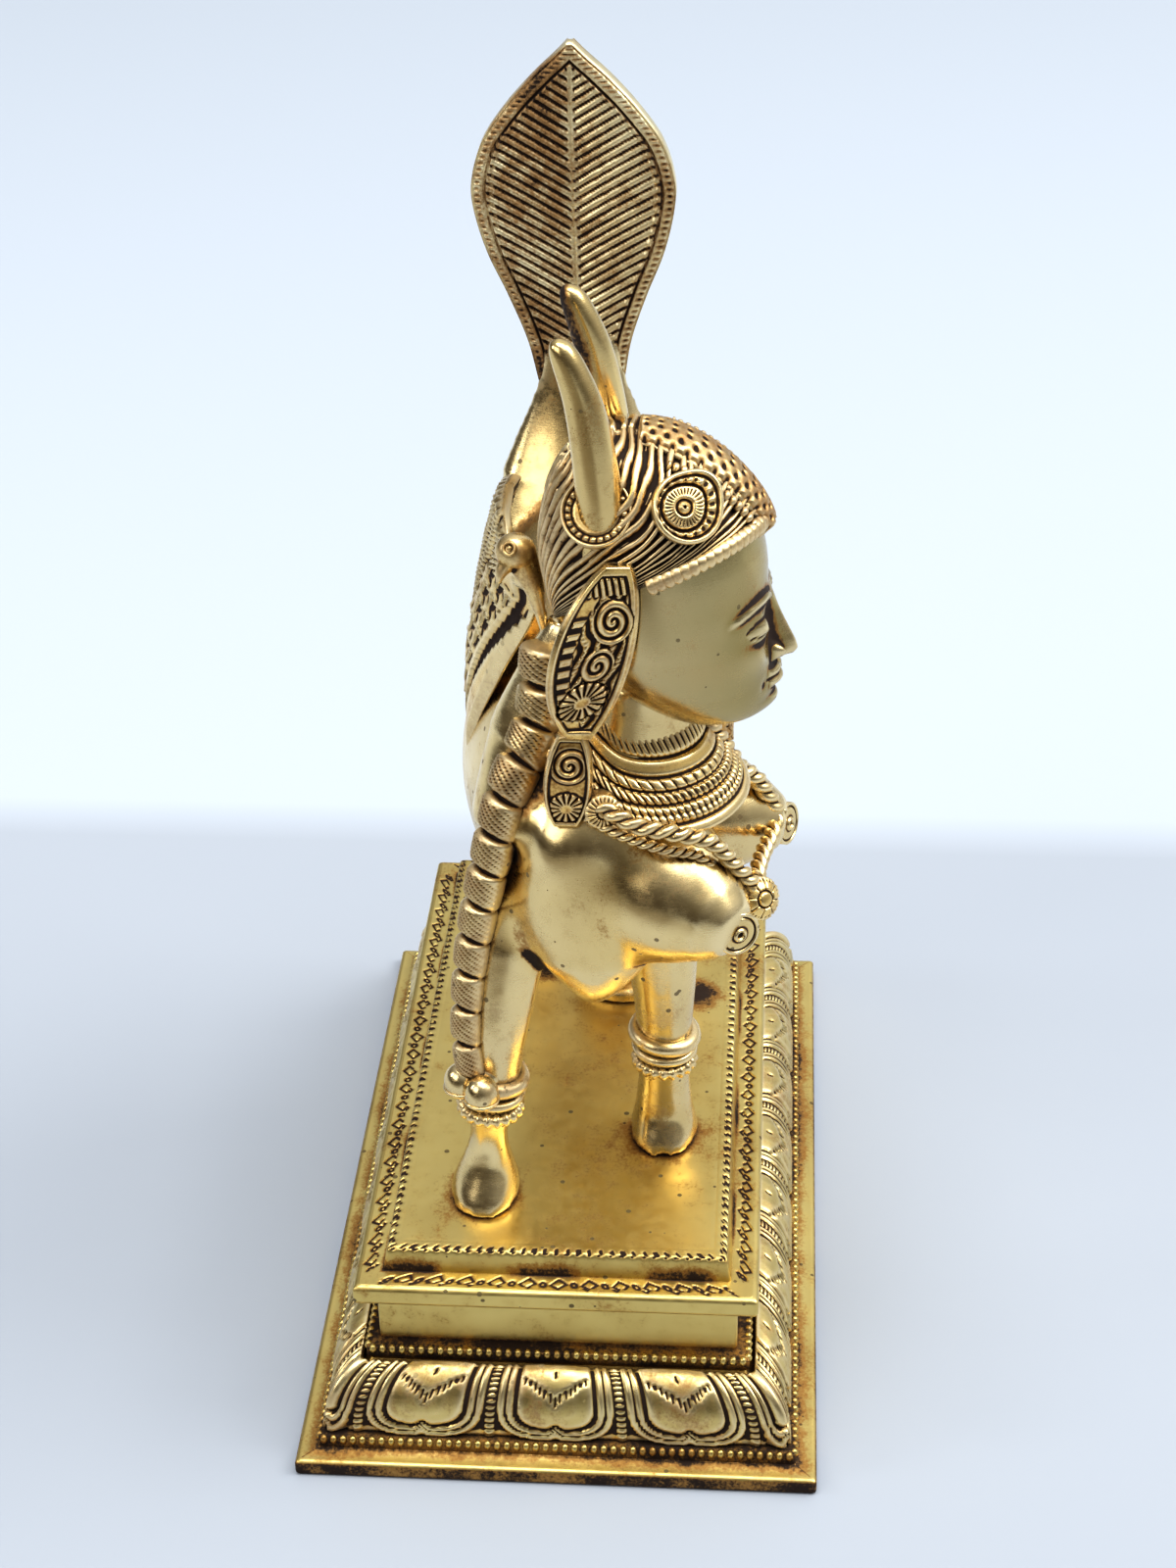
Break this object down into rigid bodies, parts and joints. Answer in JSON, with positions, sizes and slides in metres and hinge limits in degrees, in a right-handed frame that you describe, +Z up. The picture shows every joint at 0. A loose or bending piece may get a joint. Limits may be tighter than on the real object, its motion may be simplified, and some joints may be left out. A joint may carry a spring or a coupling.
{
  "type": "kamdhenu cow statue",
  "caption": "Cast brass winged cow with a woman's head and bust, horns, braid and an upright feather tail, standing on a stepped lotus plinth.",
  "frame": {"origin": "centre of the plinth's underside, on the surface it stands on", "axes": "+Z up; +X from the cow's head towards its tail, along the length of the plinth; the woman's face looks along -Y"},
  "size_m": [0.191, 0.115, 0.2716],
  "materials": {
    "figure_brass": "cast and hand chased, polished on the high surfaces, dark brown patina in the grooves",
    "plinth_brass": "cast and chased, satin with small casting pits, dark brown patina in the grooves",
    "vessel_brass": "turned and polished, darker in the recesses"
  },
  "bodies": {
    "root": {"cow_figure": "figure_brass", "plinth": "plinth_brass", "milk_vessel": "vessel_brass"}
  },
  "joints": []
}
